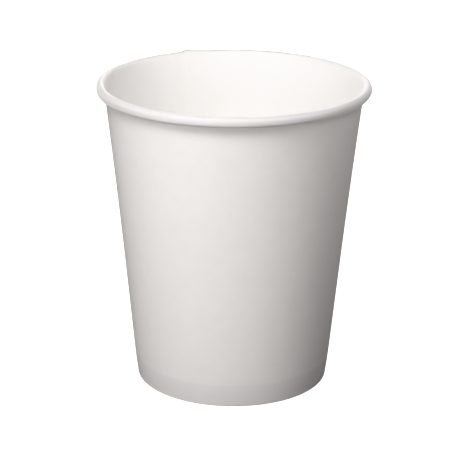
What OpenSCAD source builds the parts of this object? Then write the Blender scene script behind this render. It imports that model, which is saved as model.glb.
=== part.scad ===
// Single-wall paper cup for hot drinks: one wrapped side wall with a lap seam, a rim rolled
// outward, and a drawn bottom disc whose skirt is held in the wall's folded hem.
// Millimetres, +Z up. The origin is the centre of the foot ring, on the table.

/* [Cup] */
// Outside diameter of the rolled rim
rim_d = 80; // [76:0.5:90]
// Height from the table to the top of the rim
cup_h = 90.4; // [80:0.1:110]
// Outside diameter of the side wall at the table
foot_d = 56.9; // [52:0.1:60]
// How far the wall opens beyond a straight cone at the rim
flare = 0.6; // [0.2:0.05:1.2]
// Height over which the wall opens out, measured down from the rim
flare_h = 55; // [30:1:65]

/* [Board] */
// Thickness of the side wall's board
wall_t = 0.35; // [0.28:0.01:0.42]
// Thickness of the bottom's board
disc_t = 0.33; // [0.28:0.01:0.42]

/* [Rim] */
// Width of the roll, from the drinking face to its outermost line
roll_w = 2.5; // [2.2:0.05:3]
// Straight height between the roll's upper and lower arcs
roll_drop = 0.3; // [0.1:0.05:1]
// Clearance between the roll's cut edge and the wall that it curls back to
tail_gap = 0.06; // [0.04:0.01:0.2]

/* [Foot] */
// Height of the pressed band that grips the bottom
band_h = 6.6; // [6:0.1:9]
// Extra inward lean of the band, in degrees
band_lean = 2.3; // [0:0.1:4]
// Height over which the wall bends into the band
band_bend = 2; // [1:0.1:3]
// Height of the hem that is folded up inside the foot
hem_h = 5.4; // [4:0.1:5.8]
// Inner radius of the hem's two pressed corners
hem_r = 0.06; // [0.04:0.01:0.1]

/* [Bottom] */
// Height of the recess under the bottom disc
recess_h = 6.9; // [6.6:0.1:9]
// Outer radius where the disc turns down into its skirt
disc_r = 0.9; // [0.6:0.05:1.4]
// Clearance between the skirt and the board on each side of it
seal_gap = 0.02; // [0.01:0.01:0.04]
// Clearance between the skirt's cut edge and the fold below it
skirt_gap = 0.3; // [0.1:0.05:1]

/* [Seam] */
// Direction of the lap's inner cut edge, in degrees from +X
seam_a = 113.5; // [100:0.5:130]
// Width of the lap, in degrees of the circumference
lap_a = 7; // [5:0.5:12]
// Width over which the outer layer comes back in beside the lap, in degrees
run_a = 6; // [4:0.5:12]
// Width over which the inner layer climbs onto the lap at the rim, in degrees
climb_a = 2.5; // [1.5:0.5:6]
// How far the double layer swells the rolled rim
lap_rise = 0.35; // [0:0.05:0.5]

/* [Hidden] */
$fn = 144;
board_white = [0.95, 0.94, 0.91];

// Steps in the hem's corners, the band's bend, the flare and each quarter of the roll
corner_steps = 2;
bend_steps = 2;
hem_steps = 1;
flare_steps = 4;
roll_steps = 5;
tail_steps = 2;
// Sections across the climb, the lap and the run beside it
climb_steps = 2;
lap_steps = 2;
run_steps = 4;
// The seam's ends lie this far inside the rest of the wall, and reach this many degrees into it
weld_inset = 0.01;
weld_a = 0.1;
// Turn of the roll over which the seam's swelling starts and ends, in degrees
rise_turn = 70;
settle_rounds = 8;

roll_r = roll_w/2;
roll_x = rim_d/2 - roll_r;
roll_top_z = cup_h - roll_r;
roll_low_z = roll_top_z - roll_drop;
band_slope = tan(band_lean);
cone_foot_r = foot_d/2 - wall_t + band_slope*(band_h - band_bend/2);

// Lean of the wall where it meets the roll: the cone, the flare and the roll's arc agree there
function lean_after(a, rounds) = rounds < 1 ? a : lean_after(
  atan((roll_x - roll_r*cos(a) - flare - cone_foot_r)/(roll_top_z + roll_r*sin(a)) + 2*flare/flare_h),
  rounds - 1);
top_lean = lean_after(6, settle_rounds);
wall_top_z = roll_top_z + roll_r*sin(top_lean);
cone_slope = tan(top_lean) - 2*flare/flare_h;
flare_z = wall_top_z - flare_h;

// Drinking face of the wall: radius and slope at a height
function flare_out(z) = z < flare_z ? 0 : flare*pow((z - flare_z)/flare_h, 2);
function drawn_in(u) = u <= 0 ? 0 : u < band_bend ? band_slope*u*u/(2*band_bend)
  : band_slope*(u - band_bend/2);
function wall_r(z) = cone_foot_r + cone_slope*z + flare_out(z) - drawn_in(band_h - z);
function wall_slope(z) = cone_slope + 2*flare*max(z - flare_z, 0)/pow(flare_h, 2)
  + band_slope*min(max(band_h - z, 0)/band_bend, 1);

// A station is [point, heading]. The sheet's printed side lies to the right of the heading.
function right_of(a) = [sin(a), -cos(a)];
function wall_station(z) = [[wall_r(z), z], 90 - atan(wall_slope(z))];
function beside(s, depth) = s[0] + depth*right_of(s[1]);
function left_arc(c, r, a0, a1, n) = [for (i = [0:n])
  let (a = a0 + (a1 - a0)*i/n) [c + r*right_of(a), a]];
function right_arc(c, r, a0, a1, n) = [for (i = [1:n])
  let (a = a0 + (a1 - a0)*i/n) [c - r*right_of(a), a]];
function levels(z0, z1, n) = [for (i = [0:n]) z0 + (z1 - z0)*i/n];

// Hem: the flange stands inside the skirt, and two corners press it flat on the table
channel = disc_t + 2*seal_gap;
corner_z = wall_t + hem_r;
foot_lean = atan(wall_slope(corner_z));
wall_corner = [wall_r(corner_z) - hem_r*cos(foot_lean), corner_z];
flange_foot = beside(wall_station(corner_z), -channel);
flange_corner = [flange_foot[0] + hem_r*cos(foot_lean), corner_z];
function hem_stations(h) = concat(
  [for (z = levels(h, corner_z + hem_r, hem_steps))
    let (s = wall_station(z)) [beside(s, -channel), s[1] - 180]],
  left_arc(flange_corner, hem_r, -90 - foot_lean, 0, corner_steps),
  left_arc(wall_corner, hem_r, 0, 90 - foot_lean, corner_steps));
function wall_stations() = [for (z = concat(
    levels(band_h - band_bend, band_h, bend_steps),
    levels(flare_z, wall_top_z, flare_steps))) wall_station(z)];

// Roll: the last turn stops where its cut edge clears a wall of the given thickness
function tail_after(thick, a, rounds) = rounds < 1 ? a : tail_after(thick,
  acos((roll_x - wall_r(roll_low_z - roll_r*sin(a)) - thick - tail_gap)/roll_r), rounds - 1);
function tail_heading(thick) = -270 + tail_after(thick, 50, settle_rounds);
function roll_stations(thick) = concat(
  right_arc([roll_x, roll_top_z], roll_r, 90 - top_lean, 0, roll_steps),
  right_arc([roll_x, roll_top_z], roll_r, 0, -90, roll_steps),
  [[[roll_x + roll_r, roll_low_z], -90]],
  right_arc([roll_x, roll_low_z], roll_r, -90, -180, roll_steps),
  right_arc([roll_x, roll_low_z], roll_r, -180, tail_heading(thick), tail_steps));
function sheet_stations(thick, inset) =
  concat(hem_stations(hem_h - inset), wall_stations(), roll_stations(thick + inset));

// Where the hem turns on the table, board that is thicker than one layer is pressed down to it
function pressed(s, thick) = s[0][1] > corner_z ? 1 : min(1, (corner_z/cos(s[1]) - hem_r)/thick);
function sheet_line(stations, depth, thick) =
  [for (s = stations) beside(s, depth*pressed(s, thick))];
function reversed(list) = [for (i = [len(list) - 1:-1:0]) list[i]];

// Seam: the inner layer ends at seam_a, and the outer layer starts lap_a before it
lap_start_a = seam_a - lap_a;
climb_start_a = lap_start_a - climb_a;
run_end_a = seam_a + run_a;
lap_k = climb_steps;
edge_k = climb_steps + lap_steps;
last_k = climb_steps + lap_steps + run_steps;
function smooth(t) = let (u = min(max(t, 0), 1)) u*u*(3 - 2*u);
function section_a(k) =
  k == 0 ? climb_start_a - weld_a :
  k == last_k ? run_end_a + weld_a :
  k <= lap_k ? climb_start_a + climb_a*k/climb_steps :
  k <= edge_k ? lap_start_a + lap_a*(k - lap_k)/lap_steps :
  seam_a + run_a*(k - edge_k)/run_steps;
// How far the sheet is doubled at a section, from 0 in the plain wall to 1 in the lap
function doubled(k) = smooth(k <= lap_k ? k/climb_steps : (last_k - k)/run_steps);
// Depths of the inner layer's face, of the face between the layers and of the outer layer's face
function face_depth(k, face) =
  face == 0 ? weld_inset :
  face == 1 ? (k <= lap_k ? wall_t - weld_inset*(1 - doubled(k)) :
    k <= edge_k ? wall_t : weld_inset + (wall_t - weld_inset)*doubled(k)) :
  wall_t - weld_inset + wall_t*(k <= edge_k ? 1 : doubled(k));
// Share of the swelling at a heading: none on the wall, full round the roll, none at its cut edge
function swell(heading, end) =
  smooth((90 - top_lean - heading)/rise_turn)*smooth((heading - end)/rise_turn);

module sidewall_round() {
  stations = sheet_stations(wall_t, 0);
  rotate_extrude(angle = 360 - (run_end_a - climb_start_a), start = run_end_a)
    polygon(concat(sheet_line(stations, 0, wall_t), reversed(sheet_line(stations, wall_t, wall_t))));
}

module sidewall_seam() {
  count = len(sheet_stations(wall_t, 0));
  plain_count = len(hem_stations(hem_h)) + len(wall_stations());
  points = [for (face = [0:2], k = [0:last_k])
    let (
      thick = wall_t*(1 + doubled(k)),
      stations = sheet_stations(thick, weld_inset),
      a = section_a(k))
    for (i = [0:count - 1])
      let (
        s = stations[i],
        rise = i < plain_count ? 0 : lap_rise*doubled(k)*swell(s[1], tail_heading(thick)),
        p = beside(s, face_depth(k, face)*pressed(s, thick) - rise))
      [p[0]*cos(a), p[0]*sin(a), p[1]]];
  function at(face, k, i) = (face*(last_k + 1) + k)*count + i;
  function quad(a, b, c, d) = [[a, b, c], [a, c, d]];
  // A skin along one face, a cut edge along one station, and a cap across one section
  function skin(face, k0, k1, out) = [for (k = [k0:k1 - 1], i = [0:count - 2])
    each out ? quad(at(face, k, i), at(face, k, i + 1), at(face, k + 1, i + 1), at(face, k + 1, i))
      : quad(at(face, k, i), at(face, k + 1, i), at(face, k + 1, i + 1), at(face, k, i + 1))];
  function edge(face, k0, k1, i, out) = [for (k = [k0:k1 - 1])
    each out ? quad(at(face, k, i), at(face, k + 1, i), at(face + 1, k + 1, i), at(face + 1, k, i))
      : quad(at(face, k, i), at(face + 1, k, i), at(face + 1, k + 1, i), at(face, k + 1, i))];
  function cap(face, k, out) = [for (i = [0:count - 2])
    each out ? quad(at(face, k, i), at(face + 1, k, i), at(face + 1, k, i + 1), at(face, k, i + 1))
      : quad(at(face, k, i), at(face, k, i + 1), at(face + 1, k, i + 1), at(face + 1, k, i))];
  polyhedron(points, concat(
    skin(0, 0, edge_k, false),
    skin(1, 0, lap_k, true),
    skin(1, edge_k, last_k, false),
    skin(2, lap_k, last_k, true),
    edge(0, 0, edge_k, 0, false),
    edge(1, lap_k, last_k, 0, false),
    edge(0, 0, edge_k, count - 1, true),
    edge(1, lap_k, last_k, count - 1, true),
    cap(0, 0, false),
    cap(1, lap_k, false),
    cap(0, edge_k, true),
    cap(1, last_k, true)));
}

module sidewall() {
  color(board_white) {
    sidewall_round();
    sidewall_seam();
  }
}

// Bottom: the skirt follows the wall at the seal clearance, then turns in to the flat disc
floor_z = recess_h + disc_t;
disc_lean = atan(wall_slope(floor_z - disc_r));
skirt_top = wall_station(floor_z - disc_r - (seal_gap + disc_r)*sin(disc_lean));
skirt_foot_z = wall_t + skirt_gap;
skirt_steps = 6;
disc_steps = 12;
disc_centre = beside(skirt_top, -seal_gap - disc_r);
function skirt_line(depth) = [for (z = levels(skirt_foot_z, skirt_top[0][1], skirt_steps))
  beside(wall_station(z), -depth)];
function disc_corner(r) = [for (i = [1:disc_steps])
  left_arc(disc_centre, r, skirt_top[1], 180, disc_steps)[i][0]];

module bottom_disc() {
  color(board_white)
    rotate_extrude()
      polygon(concat(
        skirt_line(seal_gap),
        disc_corner(disc_r),
        [[0, disc_centre[1] + disc_r], [0, disc_centre[1] + disc_r - disc_t]],
        reversed(disc_corner(disc_r - disc_t)),
        reversed(skirt_line(seal_gap + disc_t))));
}

sidewall();
bottom_disc();
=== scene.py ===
"""The looks of a plain paper coffee cup: its board at full resolution, its finish, and the studio."""

import math

import bmesh
import bpy
import numpy as np
from mathutils import Matrix, Vector


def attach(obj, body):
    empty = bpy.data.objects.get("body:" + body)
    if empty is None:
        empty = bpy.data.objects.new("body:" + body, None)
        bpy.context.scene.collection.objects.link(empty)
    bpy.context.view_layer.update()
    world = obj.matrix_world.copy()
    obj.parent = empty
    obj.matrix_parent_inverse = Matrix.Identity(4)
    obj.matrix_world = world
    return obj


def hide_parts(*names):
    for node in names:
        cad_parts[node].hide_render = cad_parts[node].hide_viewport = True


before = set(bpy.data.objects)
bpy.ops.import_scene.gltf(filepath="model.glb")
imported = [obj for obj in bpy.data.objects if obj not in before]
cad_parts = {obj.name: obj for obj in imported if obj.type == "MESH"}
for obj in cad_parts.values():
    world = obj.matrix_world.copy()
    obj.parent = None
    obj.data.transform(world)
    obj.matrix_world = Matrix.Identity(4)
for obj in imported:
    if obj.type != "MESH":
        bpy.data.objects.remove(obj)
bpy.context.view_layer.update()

# Sizes of the cup, in millimetres, as in the part's source
MM = 0.001
RIM_D = 80.0
CUP_H = 90.4
FOOT_D = 56.9
FLARE = 0.6
FLARE_H = 55.0
WALL_T = 0.35
DISC_T = 0.33
ROLL_W = 2.5
ROLL_DROP = 0.3
TAIL_GAP = 0.06
BAND_H = 6.6
BAND_LEAN = math.radians(2.3)
BAND_BEND = 2.0
HEM_H = 5.4
HEM_R = 0.06
RECESS_H = 6.9
DISC_R = 0.9
SEAL_GAP = 0.02
SKIRT_GAP = 0.3

# The lap seam, as in the part's source: the direction of its inner edge from +X, and its widths
SEAM_A = math.radians(113.5)
LAP_A = math.radians(7.0)
RUN_A = math.radians(6.0)
CLIMB_A = math.radians(2.5)
LAP_START_A = SEAM_A - LAP_A
RISE_TURN = math.radians(70.0)

# The lap as it shows close up: how far it swells the roll in millimetres, the share of that at the
# lap's start and the share lost beyond its end, and the share of the board that is left at its skived
# edge, which is rounded over EDGE_A to each side
LAP_RISE = 0.45
RISE_AT_START = 0.4
RISE_LOST = 0.65
SKIVED = 0.35
EDGE_A = math.radians(1.3)

# Sliver of the roll beside the lap painted in the cut edge's darker colour, as painted shadow of the
# crease there: its angles from the seam, and its turn round the roll
SHADE_SLIVER_A = (math.radians(-2.2), math.radians(3.2))
SHADE_SLIVER_TURN = (math.radians(55.0), math.radians(115.0))

# How far the underside of the roll hangs low at the front, and how much more at the left
ROLL_SAG = 0.25
ROLL_LEAN = 0.22

# Unevenness of the board. A wave up the wall has a share, a count round the cup, a phase and a twist,
# and a buckle of the roll has a share, a count and a phase
WAVE_MM = 0.05
WAVES = ((0.5, 3, 0.9, 0.0), (0.35, 5, 2.6, 2.2), (0.3, 8, 4.4, -3.1))
BUCKLE_MM = 0.02
BUCKLES = ((0.5, 23, 1.1), (0.4, 41, 3.7), (0.35, 67, 0.4), (0.3, 103, 5.2))
GROOVE_MM = 0.05
GROOVE_Z = BAND_H - 0.2
GROOVE_W = 0.9
CRIMP_MM = 0.14
CRIMPS = 84
CRIMP_FADE_LOW = 0.8
CRIMP_FADE_HIGH = 0.5

# Steps along the section of the sheet. The band's fine steps reach a little above it
FLANGE_STEPS = 12
CORNER_STEPS = 5
BAND_STEPS = 14
FINE_ABOVE_BAND = 1.0
WALL_STEPS = 40
ROLL_STEPS = 11
TAIL_STEPS = 5

# Angles between sections, and steps of the bottom disc, with its last ring before the axis
FULL_TURN = 2 * math.pi
PLAIN_STEP = math.radians(1.0)
SEAM_STEP = math.radians(0.5)
EDGE_STEP = EDGE_A / 3
SKIRT_STEPS = 16
DISC_CORNER_STEPS = 12
FLAT_STEPS = 24
LAST_RING_R = 0.02
DISC_SECTIONS = 360

# Rounds and first guesses for the wall's lean and the roll's last turn, which settle by repetition
SETTLE_ROUNDS = 20
FIRST_LEAN = 0.1
FIRST_TAIL_TURN = math.radians(50)

# Closeness at which angles count as equal, and points as one in metres, and the least sharp edge
TINY = 1e-9
WELD_M = 1e-7
SHARP_A = math.radians(38)


# Profile of the drinking face
roll_r = ROLL_W / 2
roll_x = RIM_D / 2 - roll_r
roll_top_z = CUP_H - roll_r
roll_low_z = roll_top_z - ROLL_DROP
band_slope = math.tan(BAND_LEAN)
cone_foot_r = FOOT_D / 2 - WALL_T + band_slope * (BAND_H - BAND_BEND / 2)


def settled_lean():
    """Lean of the wall where it meets the roll, at which the cone, the flare and the arc agree."""
    lean = FIRST_LEAN
    for _ in range(SETTLE_ROUNDS):
        run = roll_x - roll_r * math.cos(lean) - FLARE - cone_foot_r
        climb = roll_top_z + roll_r * math.sin(lean)
        lean = math.atan(run / climb + 2 * FLARE / FLARE_H)
    return lean


top_lean = settled_lean()
wall_top_z = roll_top_z + roll_r * math.sin(top_lean)
cone_slope = math.tan(top_lean) - 2 * FLARE / FLARE_H
flare_z = wall_top_z - FLARE_H


def wall_r(z):
    """Radius of the drinking face at a height."""
    flare = FLARE * (np.maximum(z - flare_z, 0) / FLARE_H) ** 2
    below = np.maximum(BAND_H - z, 0)
    bend = np.minimum(below, BAND_BEND)
    drawn = band_slope * (bend ** 2 / (2 * BAND_BEND) + below - bend)
    return cone_foot_r + cone_slope * z + flare - drawn


def wall_slope(z):
    """Growth of that radius with height."""
    opening = 2 * FLARE * np.maximum(z - flare_z, 0) / FLARE_H ** 2
    return cone_slope + opening + band_slope * np.clip((BAND_H - z) / BAND_BEND, 0, 1)


class Line:
    """Points (r, z) along a sheet and the heading at each. The printed side lies to the right."""

    def __init__(self, points, heading):
        self.points = np.atleast_2d(points).astype(float)
        self.heading = np.atleast_1d(heading).astype(float)

    def right(self):
        return np.stack([np.sin(self.heading), -np.cos(self.heading)], -1)

    def beside(self, depth):
        return self.points + np.asarray(depth)[..., None] * self.right()

    def past_start(self):
        """The line without its first point, to follow a line that ends there."""
        return Line(self.points[1:], self.heading[1:])


def joined(*lines):
    points = np.concatenate([line.points for line in lines])
    return Line(points, np.concatenate([line.heading for line in lines]))


def wall_line(z):
    z = np.atleast_1d(z).astype(float)
    return Line(np.stack([wall_r(z), z], -1), math.pi / 2 - np.arctan(wall_slope(z)))


def arc(centre, radius, start, end, steps, turn):
    """An arc that turns left (turn 1) or right (turn -1) about its centre."""
    heading = np.linspace(start, end, steps + 1)
    right = np.stack([np.sin(heading), -np.cos(heading)], -1)
    return Line(np.asarray(centre) + turn * radius * right, heading)


channel = DISC_T + 2 * SEAL_GAP
corner_z = WALL_T + HEM_R
foot_lean = math.atan(wall_slope(corner_z))
wall_corner = (wall_r(corner_z) - HEM_R * math.cos(foot_lean), corner_z)
flange_foot = wall_line(corner_z).beside(-channel)[0]
flange_corner = (flange_foot[0] + HEM_R * math.cos(foot_lean), corner_z)


def hem_line():
    wall = wall_line(np.linspace(HEM_H, corner_z + HEM_R, FLANGE_STEPS + 1))
    flange = Line(wall.beside(-channel), wall.heading - math.pi)
    inner = arc(flange_corner, HEM_R, -math.pi / 2 - foot_lean, 0, CORNER_STEPS, 1)
    outer = arc(wall_corner, HEM_R, 0, math.pi / 2 - foot_lean, CORNER_STEPS, 1)
    return joined(flange, inner, outer)


def plain_wall_line():
    fine_top = BAND_H + FINE_ABOVE_BAND
    band = np.linspace(corner_z + HEM_R, fine_top, BAND_STEPS + 1)
    wall = np.linspace(fine_top, wall_top_z, WALL_STEPS + 1)
    return wall_line(np.concatenate([band, wall[1:]]))


def tail_heading(thick):
    """Heading of the roll's cut edge, where it clears a wall of that thickness."""
    turn = FIRST_TAIL_TURN
    for _ in range(SETTLE_ROUNDS):
        reach = roll_x - wall_r(roll_low_z - roll_r * math.sin(turn)) - thick - TAIL_GAP
        turn = math.acos(reach / roll_r)
    return turn - 1.5 * math.pi


def roll_line(thick):
    high, low = (roll_x, roll_top_z), (roll_x, roll_low_z)
    return joined(
        arc(high, roll_r, math.pi / 2 - top_lean, 0, ROLL_STEPS, -1).past_start(),
        arc(high, roll_r, 0, -math.pi / 2, ROLL_STEPS, -1).past_start(),
        arc(low, roll_r, -math.pi / 2, -math.pi, ROLL_STEPS, -1),
        arc(low, roll_r, -math.pi, tail_heading(thick), TAIL_STEPS, -1).past_start())


hem_part, wall_part = hem_line(), plain_wall_line()
hem_count = len(hem_part.heading)
plain_count = hem_count + len(wall_part.heading)
roll_turned = math.pi / 2 - top_lean - roll_line(WALL_T).heading


# Lap seam
def smooth(t):
    t = np.clip(t, 0, 1)
    return t * t * (3 - 2 * t)


def into_lap(angle):
    """Angle from the start of the lap, negative in the climb before it."""
    return (angle - LAP_START_A + CLIMB_A + TINY) % FULL_TURN - CLIMB_A


def doubled(angle):
    """How far the sheet is doubled at an angle: 0 in the plain wall and 1 in the lap."""
    a = into_lap(angle)
    if a < 0:
        return float(smooth((a + CLIMB_A) / CLIMB_A))
    return float(smooth((LAP_A + RUN_A - a) / RUN_A))


def swollen(angle):
    """How far the lap swells the roll: most at its cut edge on the drinking side."""
    a = into_lap(angle)
    lap = RISE_AT_START + (1 - RISE_AT_START) * smooth(a / LAP_A)
    beyond = 1 - RISE_LOST * smooth((a - LAP_A) / EDGE_A)
    return float(LAP_RISE * doubled(angle) * lap * beyond)


# Unevenness
def ripple(angle, line):
    """Unevenness of thin board, as a depth towards its printed side.

    Broad waves run up the wall, the wheel that closes the foot leaves a faint groove above its band
    and crimps in the hem, and the board buckles a little as the rim is rolled.
    """
    z = line.points[:, 1]
    up = np.clip((z - BAND_H) / (wall_top_z - BAND_H), 0, 1)
    waves = sum(share * np.sin(count * angle + phase + twist * up) for share, count, phase, twist in WAVES)
    depth = WAVE_MM * np.sin(math.pi * up) * waves
    depth -= GROOVE_MM * np.exp(-((z - GROOVE_Z) / GROOVE_W) ** 2)
    depth[:hem_count] = 0
    buckle = sum(share * math.sin(count * angle + phase) for share, count, phase in BUCKLES)
    heading = line.heading[plain_count:]
    along = (heading - heading[0]) / (heading[-1] - heading[0])
    depth[plain_count:] = BUCKLE_MM * buckle * np.sqrt(np.clip(np.sin(math.pi * along), 0, 1))
    flange_z = z[:FLANGE_STEPS + 1]
    faded = smooth((flange_z - corner_z) / CRIMP_FADE_LOW) * smooth((HEM_H - flange_z) / CRIMP_FADE_HIGH)
    depth[:FLANGE_STEPS + 1] = CRIMP_MM * faded * (0.5 + 0.5 * math.cos(CRIMPS * angle)) ** 2
    return depth


def sag(angle):
    """How far the underside of the roll hangs low: the rim was rolled unevenly, most at the left."""
    return ROLL_SAG - ROLL_LEAN * math.cos(angle)


# Side wall
def around(r, z, angle):
    return np.stack([r * math.cos(angle), r * math.sin(angle), z], -1)


def section(angle, layers):
    """Points of the sheet at an angle, at a depth in layers of board from the drinking face."""
    thick = WALL_T * (1 + doubled(angle))
    line = joined(hem_part, wall_part, roll_line(thick))
    heading = line.heading
    on_roll = np.arange(len(heading)) >= plain_count
    line.points[on_roll & (heading < -math.pi / 2 - TINY), 1] -= sag(angle)
    # Where the hem turns on the table, board that is thicker than one layer is pressed down to it
    room = corner_z / np.maximum(np.cos(heading), TINY) - HEM_R
    pressed = np.where(line.points[:, 1] <= corner_z, np.minimum(room / thick, 1), 1)
    turned = math.pi / 2 - top_lean - heading
    left = heading - heading[-1]
    swell = smooth(turned / RISE_TURN) * smooth(left / RISE_TURN)
    depth = layers * WALL_T * pressed - swollen(angle) * np.where(on_roll, swell, 0)
    r, z = line.beside(depth + ripple(angle, line)).T
    return around(r, z, angle)


def ring_angles():
    """Angles of the sections, once round from the start of the sliver of painted shadow to the same place.
    """
    sliver_start, sliver_end = SEAM_A + SHADE_SLIVER_A[0], SEAM_A + SHADE_SLIVER_A[1]
    climb_start = LAP_START_A - CLIMB_A + FULL_TURN
    lap_start = LAP_START_A + FULL_TURN
    stops = [sliver_start, sliver_end, SEAM_A + RUN_A, climb_start, lap_start, sliver_start + FULL_TURN]
    steps = [EDGE_STEP, SEAM_STEP, PLAIN_STEP, SEAM_STEP, SEAM_STEP]
    angles = []
    for start, end, step in zip(stops, stops[1:], steps):
        count = max(math.ceil((end - start) / step), 1)
        angles.extend(np.linspace(start, end, count + 1)[:-1])
    return np.array(angles + stops[-1:])


OUTER, INNER, EDGE_AND_SHADE = 0, 1, 2


class Builder:
    """Collects strips of faces, each with its own material slot."""

    def __init__(self):
        self.points, self.faces, self.slots, self.count = [], [], [], 0

    def grid(self, rows, slot, flip=False):
        """Quads between rows of points, each row as long as the next."""
        rows = np.asarray(rows)
        many, size = rows.shape[:2]
        index = self.count + np.arange(many * size).reshape(many, size)
        corners = [index[:-1, :-1], index[:-1, 1:], index[1:, 1:], index[1:, :-1]]
        quads = np.stack(corners, -1).reshape(-1, 4)
        self.points.append(rows.reshape(-1, 3))
        self.faces.append(quads[:, ::-1] if flip else quads)
        self.slots.append(np.full(len(quads), slot))
        self.count += many * size

    def finished(self, name, materials):
        """The strips as one object in metres."""
        mesh = bpy.data.meshes.new(name)
        points = np.concatenate(self.points) * MM
        mesh.from_pydata(points.tolist(), [], np.concatenate(self.faces).tolist())
        for material in materials:
            mesh.materials.append(material)
        mesh.polygons.foreach_set("material_index", np.concatenate(self.slots).astype(np.int32))
        weld(mesh)
        obj = bpy.data.objects.new(name, mesh)
        bpy.context.scene.collection.objects.link(obj)
        return obj


def weld(mesh):
    """Joins the strips where they meet and keeps only the board's cut edges sharp."""
    work = bmesh.new()
    work.from_mesh(mesh)
    bmesh.ops.remove_doubles(work, verts=work.verts, dist=WELD_M)
    bmesh.ops.recalc_face_normals(work, faces=work.faces)
    work.to_mesh(mesh)
    work.free()
    mesh.shade_smooth()
    mesh.set_sharp_from_angle(angle=SHARP_A)


def inner_layers(angle):
    """Depth of the drinking face in layers: 0, or that of the skived edge in the run beside the lap."""
    if angle >= SEAM_A + RUN_A:
        return 0.0
    return SKIVED * doubled(angle) * float(smooth((angle - SEAM_A + EDGE_A) / (2 * EDGE_A)))


def outer_layers(angle):
    """Depth of the printed face in layers: 1, and up to 2 where the board laps over itself."""
    if angle > LAP_START_A + FULL_TURN - TINY:
        return 2.0
    return 1 + doubled(angle) if angle < SEAM_A + RUN_A else 1.0


def sidewall(materials):
    angles = ring_angles()
    inner = [section(a, inner_layers(a)) for a in angles]
    outer = [section(a, outer_layers(a)) for a in angles]
    lap = int(np.argmax(angles > LAP_START_A + FULL_TURN - TINY))
    climb_end = section(LAP_START_A + FULL_TURN, 1.0)
    build = Builder()
    # A sliver of the roll beside the lap takes the cut edge's darker colour, as painted shadow of the
    # crease there
    shade_sliver_rows = int(np.sum(angles < SEAM_A + SHADE_SLIVER_A[1] + TINY))
    first, last = (plain_count + int(np.searchsorted(roll_turned, turn)) for turn in SHADE_SLIVER_TURN)
    build.grid([row[:first + 1] for row in inner[:shade_sliver_rows]], INNER)
    build.grid([row[first:last + 1] for row in inner[:shade_sliver_rows]], EDGE_AND_SHADE)
    build.grid([row[last:] for row in inner[:shade_sliver_rows]], INNER)
    build.grid(inner[shade_sliver_rows - 1:], INNER)
    build.grid(outer[:lap] + [climb_end], OUTER, flip=True)
    build.grid(outer[lap:], OUTER, flip=True)
    # Cut edges: the outer layer's where the lap starts, then the hem's and the roll's, each of which
    # takes in the step between the layers there
    build.grid([climb_end, outer[lap]], EDGE_AND_SHADE)
    for end in (0, -1):
        low, high, step = [p[end] for p in inner], [p[end] for p in outer], climb_end[end]
        build.grid([low[:lap + 1], high[:lap] + [step]], EDGE_AND_SHADE)
        build.grid([[low[lap], step, high[lap]], [low[lap + 1], high[lap + 1], high[lap + 1]]], EDGE_AND_SHADE)
        build.grid([low[lap + 1:], high[lap + 1:]], EDGE_AND_SHADE)
    return build.finished("cup_sidewall", materials)


# Bottom disc
floor_z = RECESS_H + DISC_T
disc_lean = math.atan(wall_slope(floor_z - DISC_R))
skirt_top = wall_line(floor_z - DISC_R - (SEAL_GAP + DISC_R) * math.sin(disc_lean))
disc_centre = skirt_top.beside(-SEAL_GAP - DISC_R)[0]


def disc_face(depth):
    """Line of the disc's face at a depth below its upper side, from the skirt's edge to the axis."""
    z = np.linspace(WALL_T + SKIRT_GAP, skirt_top.points[0, 1], SKIRT_STEPS + 1)
    skirt = wall_line(z).beside(-SEAL_GAP - depth)
    corner = arc(disc_centre, DISC_R - depth, skirt_top.heading[0], math.pi, DISC_CORNER_STEPS, 1)
    corner = corner.past_start().points
    flat_r = np.append(np.linspace(corner[-1, 0], LAST_RING_R, FLAT_STEPS + 1)[1:], 0.0)
    flat = np.stack([flat_r, np.full_like(flat_r, corner[-1, 1])], -1)
    return np.concatenate([skirt, corner, flat])


def revolved(profile):
    r, z = profile.T
    return [around(r, z, a) for a in np.linspace(0, FULL_TURN, DISC_SECTIONS + 1)]


def bottom_disc(materials):
    upper, under = disc_face(0.0), disc_face(DISC_T)
    build = Builder()
    build.grid(revolved(upper), INNER)
    build.grid(revolved(under), OUTER, flip=True)
    build.grid(revolved(np.stack([upper[0], under[0]])), EDGE_AND_SHADE)
    return build.finished("cup_bottom", materials)


# Nodes of the materials
def ramp(tree, value, source, target, smoothly=False):
    """Carries a value from the range source to the range target."""
    node = tree.nodes.new("ShaderNodeMapRange")
    if smoothly:
        node.interpolation_type = "SMOOTHSTEP"
    for key, setting in zip(("From Min", "From Max", "To Min", "To Max"), (*source, *target)):
        node.inputs[key].default_value = setting
    tree.links.new(value, node.inputs["Value"])
    return node.outputs["Result"]


def noise(tree, place, scale, detail, roughness):
    """Fractal noise over the surface, with a scale in grains to the metre."""
    node = tree.nodes.new("ShaderNodeTexNoise")
    for key, setting in (("Scale", scale), ("Detail", detail), ("Roughness", roughness)):
        node.inputs[key].default_value = setting
    tree.links.new(place, node.inputs["Vector"])
    return node.outputs["Fac"]


def mixed(tree, share, first, second):
    """Colour between two others, each a tuple or the output of a node."""
    node = tree.nodes.new("ShaderNodeMix")
    node.data_type = "RGBA"
    tree.links.new(share, node.inputs[0])
    for socket, colour in ((node.inputs[6], first), (node.inputs[7], second)):
        if isinstance(colour, tuple):
            socket.default_value = (*colour, 1)
        else:
            tree.links.new(colour, socket)
    return node.outputs[2]


def bump(tree, height, strength, distance, normal=None):
    node = tree.nodes.new("ShaderNodeBump")
    node.inputs["Strength"].default_value = strength
    node.inputs["Distance"].default_value = distance
    tree.links.new(height, node.inputs["Height"])
    if normal:
        tree.links.new(normal, node.inputs["Normal"])
    return node.outputs["Normal"]


def above_table(tree, place):
    """Height above the table."""
    axes = tree.nodes.new("ShaderNodeSeparateXYZ")
    tree.links.new(place, axes.inputs["Vector"])
    return axes.outputs["Z"]


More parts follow.
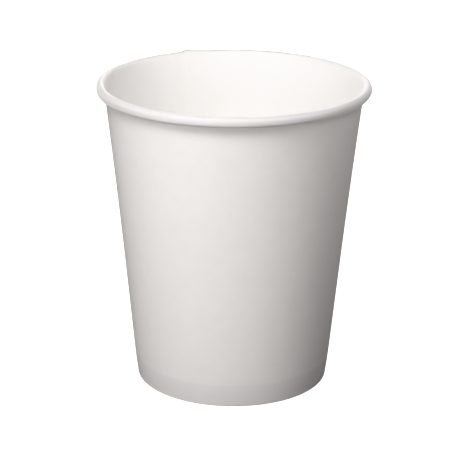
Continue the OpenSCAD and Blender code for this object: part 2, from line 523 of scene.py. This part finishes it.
def from_axis(tree, place):
    """Distance from the cup's axis."""
    flat = tree.nodes.new("ShaderNodeVectorMath")
    flat.operation = "MULTIPLY"
    flat.inputs[1].default_value = (1, 1, 0)
    tree.links.new(place, flat.inputs[0])
    length = tree.nodes.new("ShaderNodeVectorMath")
    length.operation = "LENGTH"
    tree.links.new(flat.outputs["Vector"], length.inputs[0])
    return length.outputs["Value"]


# Board: the scale, detail and roughness of the noise for its clouds and its fibres, the range that the
# noise fills, how far the roughness varies, and the relief's depths in metres and strength
CLOUDS = (260, 5, 0.62)
FIBRES = (2600, 3, 0.6)
NOISE_RANGE = (0.3, 0.7)
ROUGHNESS_SPREAD = 0.06
FIBRE_DEPTH = 0.00004
CLOUD_DEPTH = 0.0001
CLOUD_STRENGTH = 0.7
# Heights over which the band at the foot is painted darker, as painted shade, distances from the axis
# over which the roll is painted darker, as painted shade, and the light that the roll's stretched fibres
# catch
SHADED_BAND_EDGE = ((BAND_H - 0.6) * MM, (BAND_H + 0.8) * MM)
ROLL_SHADE_AND_SHEEN_EDGE = (37.45 * MM, 38.9 * MM)
ROLL_FUZZ = 0.8
FUZZ_ROUGHNESS = 0.35


def board(name, colour, cloud_share, roughness, fibre, gloss, band=None, rim=None):
    """Bleached paper board: cloudy formation, short fibres and its own gloss.

    Cloud_share is the tone of its darkest clouds. Band is a darker colour painted on the band at the
    foot, and rim a darker colour painted on the roll, both as painted shade.
    """
    material = bpy.data.materials.new(name)
    material.use_nodes = True
    tree = material.node_tree
    tree.nodes.clear()
    shader = tree.nodes.new("ShaderNodeBsdfPrincipled")
    place = tree.nodes.new("ShaderNodeTexCoord").outputs["Object"]
    cloud = noise(tree, place, *CLOUDS)
    grain = noise(tree, place, *FIBRES)
    clouded = ramp(tree, cloud, NOISE_RANGE, (0.0, 1.0))

    def with_clouds(tint):
        return mixed(tree, clouded, tint, tuple(c * cloud_share for c in tint))

    tone = with_clouds(colour)
    # Painted shade: the band at the foot takes a darker, slightly more purple colour
    if band:
        in_shaded_band = ramp(tree, above_table(tree, place), SHADED_BAND_EDGE, (1.0, 0.0), smoothly=True)
        tone = mixed(tree, in_shaded_band, tone, with_clouds(band))
    # Painted shade: the roll takes a darker colour than the coated face it is rolled from, and a sheen
    if rim:
        reach = from_axis(tree, place)
        on_roll = ramp(tree, reach, ROLL_SHADE_AND_SHEEN_EDGE, (0.0, 1.0), smoothly=True)
        tone = mixed(tree, on_roll, tone, with_clouds(rim))
        fuzz = ramp(tree, reach, ROLL_SHADE_AND_SHEEN_EDGE, (0.0, ROLL_FUZZ), smoothly=True)
        tree.links.new(fuzz, shader.inputs["Sheen Weight"])
        shader.inputs["Sheen Roughness"].default_value = FUZZ_ROUGHNESS
    tree.links.new(tone, shader.inputs["Base Color"])
    spread = (roughness - ROUGHNESS_SPREAD, roughness + ROUGHNESS_SPREAD)
    tree.links.new(ramp(tree, grain, NOISE_RANGE, spread), shader.inputs["Roughness"])
    shader.inputs["Specular IOR Level"].default_value = gloss
    fine = bump(tree, grain, fibre, FIBRE_DEPTH)
    relief = bump(tree, cloud, fibre * CLOUD_STRENGTH, CLOUD_DEPTH, fine)
    tree.links.new(relief, shader.inputs["Normal"])
    out = tree.nodes.new("ShaderNodeOutputMaterial")
    tree.links.new(shader.outputs["BSDF"], out.inputs["Surface"])
    return material


# The band colour is painted shade on the foot band, darker and slightly more purple than the wall
printed_face = board(
    "board_outside", (0.885, 0.850, 0.827), cloud_share=0.974, roughness=0.62, fibre=0.35, gloss=0.0,
    band=(0.827, 0.786, 0.774))
# The rim colour is painted shade: it makes the roll darker than the rest of the coated face
drinking_face = board(
    "board_coated_inside", (0.966, 0.948, 0.934), cloud_share=0.99, roughness=0.52, fibre=0.2, gloss=0.35,
    rim=(0.742, 0.704, 0.706))
# The cut edges' colour, which also paints a sliver of the roll beside the lap as painted shadow
edge_and_shade = board(
    "board_edge_and_painted_shade", (0.79, 0.76, 0.73), cloud_share=0.9, roughness=0.85, fibre=0.6, gloss=0.2)
faces = [printed_face, drinking_face, edge_and_shade]

wall = sidewall(faces)
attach(wall, "root")
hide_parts("sidewall")
bottom = bottom_disc(faces)
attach(bottom, "root")
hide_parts("bottom_disc")


# Floor, and a card that only reflections see, in metres
FLOOR_HALF = 4.0
FLOOR_DROP = 0.00003
FLOOR_GLOW = 1.5
CARD_HALF = 0.6
CARD_TOP = 0.15
CARD_Y = 0.25
CARD_GLOW = 1.8
STAGE_GREY = (0.3, 0.3, 0.3, 1)
STAGE_ROUGHNESS = 0.9


def glowing(name, strength):
    material = bpy.data.materials.new(name)
    material.use_nodes = True
    shader = material.node_tree.nodes["Principled BSDF"]
    shader.inputs["Base Color"].default_value = STAGE_GREY
    shader.inputs["Roughness"].default_value = STAGE_ROUGHNESS
    shader.inputs["Specular IOR Level"].default_value = 0.0
    shader.inputs["Emission Color"].default_value = (1, 1, 1, 1)
    shader.inputs["Emission Strength"].default_value = strength
    return material


def stage_plane(name, corners, strength):
    """A glowing plane that casts no light on the cup's matt surfaces."""
    mesh = bpy.data.meshes.new(name)
    mesh.from_pydata(corners, [], [(0, 1, 2, 3)])
    mesh.materials.append(glowing(name, strength))
    plane = bpy.data.objects.new(name, mesh)
    bpy.context.scene.collection.objects.link(plane)
    plane.visible_diffuse = False
    return plane


def studio_floor():
    """The pale floor, a hair below the cup's foot. It stays out of reflections."""
    half = FLOOR_HALF
    corners = [(-half, -half, 0), (half, -half, 0), (half, half, 0), (-half, half, 0)]
    floor = stage_plane("floor", corners, FLOOR_GLOW)
    floor.location.z = -FLOOR_DROP
    floor.visible_glossy = False


def reflection_card():
    """A white card behind the cup, which lightens the outline of the coated rim."""
    half, top = CARD_HALF, CARD_TOP
    corners = [(-half, CARD_Y, -half), (half, CARD_Y, -half), (half, CARD_Y, top), (-half, CARD_Y, top)]
    card = stage_plane("card", corners, CARD_GLOW)
    card.visible_camera = False
    card.visible_shadow = False


studio_floor()
reflection_card()


# Lamps: azimuth in degrees, where 0 is the camera's side and 90 the right, then reach and height in
# metres and power in watts
LAMPS = {
    "key_left": (-45, 0.30, 0.30, 0.387),
    "top_front": (-25, 0.30, 0.45, 1.140),
    "top_right": (35, 0.30, 0.35, 0.335),
    "front_low": (-25, 0.24, 0.07, 0.243),
    "edge_right": (70, 0.20, 0.12, 0.080),
    "edge_left": (-120, 0.40, 0.25, 0.083),
    "rim_back": (180, 0.40, 0.25, 0.760),
    "back_low": (180, 0.40, 0.02, 0.400)}
AIM = Vector((0, 0, 0.05))
SIZE_TO_REACH = 0.5


def softbox(name, azimuth, reach, height, power):
    """A square area light that looks at the cup."""
    a = math.radians(azimuth)
    data = bpy.data.lights.new(name, "AREA")
    data.shape = "SQUARE"
    data.size = SIZE_TO_REACH * reach
    data.energy = power
    light = bpy.data.objects.new(name, data)
    bpy.context.scene.collection.objects.link(light)
    light.location = Vector((math.sin(a) * reach, -math.cos(a) * reach, height))
    light.rotation_euler = (light.location - AIM).to_track_quat("Z", "Y").to_euler()


for name, settings in LAMPS.items():
    softbox(name, *settings)


def dark_world():
    """A world that adds no light to that of the lamps."""
    world = bpy.data.worlds.new("studio")
    bpy.context.scene.world = world
    world.use_nodes = True
    world.node_tree.nodes["Background"].inputs["Strength"].default_value = 0.0


# Highlights above this share of white are rolled off softly, as a camera does
SHOULDER = 0.92
CURVE_TOP = 2.0
CURVE_STEPS = 16


def soft_highlights():
    view = bpy.context.scene.view_settings
    view.use_curve_mapping = True
    mapping = view.curve_mapping
    mapping.white_level = (CURVE_TOP, CURVE_TOP, CURVE_TOP)
    curve = mapping.curves[3]
    room = 1 - SHOULDER
    curve.points[0].location = (0, 0)
    curve.points[1].location = (1, 1)
    for i in range(CURVE_STEPS):
        over = (CURVE_TOP - SHOULDER) * i / CURVE_STEPS
        curve.points.new((SHOULDER + over) / CURVE_TOP, SHOULDER + room * (1 - math.exp(-over / room)))
    for point in curve.points:
        point.handle_type = "VECTOR"
    mapping.update()


dark_world()
bpy.context.scene.cycles.max_bounces = 16
bpy.context.scene.cycles.diffuse_bounces = 12
bpy.context.scene.view_settings.view_transform = "Standard"
bpy.context.scene.view_settings.look = "None"
soft_highlights()


# Camera, as read from the photograph: it stands at a distance and elevation from a point on the axis,
# and looks at a target beside that point
VIEW_ELEVATION = math.radians(19.06)
VIEW_ROLL = math.radians(0.415)
VIEW_DISTANCE = 0.557
VIEW_CENTRE = Vector((0, 0, 0.046))
VIEW_TARGET = Vector((-0.00235, 0.0, 0.04623))
LENS_MM = 149.6
SENSOR_MM = 36.0
CLIP_START = 0.01
CLIP_END = 20


def photo_camera():
    out = Vector((0, -math.cos(VIEW_ELEVATION), math.sin(VIEW_ELEVATION)))
    place = VIEW_CENTRE + VIEW_DISTANCE * out
    back = (place - VIEW_TARGET).normalized()
    right = Vector((0, 0, 1)).cross(back).normalized()
    up = back.cross(right)
    c, s = math.cos(VIEW_ROLL), math.sin(VIEW_ROLL)
    data = bpy.data.cameras.new("photo_camera")
    data.lens = LENS_MM
    data.sensor_width = SENSOR_MM
    data.clip_start = CLIP_START
    data.clip_end = CLIP_END
    camera = bpy.data.objects.new("photo_camera", data)
    bpy.context.scene.collection.objects.link(camera)
    basis = Matrix((c * right + s * up, c * up - s * right, back)).transposed().to_4x4()
    basis.translation = place
    camera.matrix_world = basis
    bpy.context.scene.camera = camera


photo_camera()
